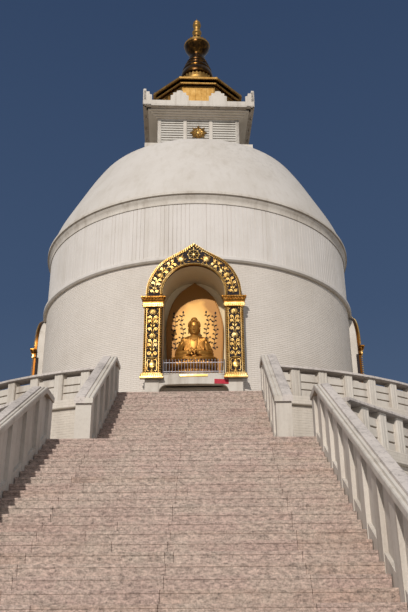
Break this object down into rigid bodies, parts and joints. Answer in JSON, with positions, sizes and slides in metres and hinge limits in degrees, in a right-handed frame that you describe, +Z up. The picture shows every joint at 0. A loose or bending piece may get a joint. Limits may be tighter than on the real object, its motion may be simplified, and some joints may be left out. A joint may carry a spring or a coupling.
{
  "type": "stupa building, 1:2 scale model",
  "caption": "Whitewashed domed stupa on stepped round terraces, with a walled front stair, gilded niches with seated figures and a gilded pinnacle.",
  "frame": {"origin": "on the ground, on the axis of the dome", "axes": "+Z up, -Y towards the foot of the front stair, +X to the right of a visitor who faces the stair"},
  "size_m": [15.7476, 21.705, 17.5],
  "materials": {
    "whitewash": "matte",
    "painted_brick": "matte",
    "dome_plaster": "matte",
    "stair_slabs": "matte",
    "gilding": "satin",
    "dark_bronze": "satin",
    "relief_ground": "matte",
    "niche_plaster": "matte",
    "steel_railing": "satin",
    "louvre_paint": "satin",
    "red_plate": "satin"
  },
  "bodies": {
    "root": {"lower_terrace": "painted_brick", "upper_terrace": "painted_brick", "lower_flight": "stair_slabs", "upper_flight": "stair_slabs", "lower_stair_wall_left": "whitewash", "lower_stair_wall_right": "whitewash", "upper_stair_wall_left": "whitewash", "upper_stair_wall_right": "whitewash", "upper_balustrade_1": "whitewash", "upper_balustrade_2": "whitewash", "upper_balustrade_3": "whitewash", "upper_balustrade_4": "whitewash", "lower_balustrade_1": "whitewash", "lower_balustrade_2": "whitewash", "lower_balustrade_3": "whitewash", "lower_balustrade_4": "whitewash", "landing_balustrade_left": "whitewash", "landing_balustrade_right": "whitewash", "lower_drum": "painted_brick", "upper_drum": "whitewash", "cornice": "whitewash", "dome": "dome_plaster", "box_plinth": "whitewash", "box_walls": "whitewash", "box_corbels": "whitewash", "box_parapet": "whitewash", "roof_neck": "gilding", "roof_eaves": "gilding", "roof_hips": "gilding", "pinnacle_seat": "gilding", "pinnacle_bell": "dark_bronze", "pinnacle_bulb": "dark_bronze", "pinnacle_spire": "gilding", "niche_surround_front": "whitewash", "niche_surround_right": "whitewash", "niche_surround_rear": "whitewash", "niche_surround_left": "whitewash", "niche_frame_front": "gilding", "niche_frame_right": "gilding", "niche_frame_rear": "gilding", "niche_frame_left": "gilding", "niche_back_panel_front": "gilding", "niche_back_panel_right": "gilding", "niche_back_panel_rear": "gilding", "niche_back_panel_left": "gilding", "seated_figure_front": "gilding", "seated_figure_right": "gilding", "seated_figure_rear": "gilding", "seated_figure_left": "gilding"}
  },
  "joints": []
}
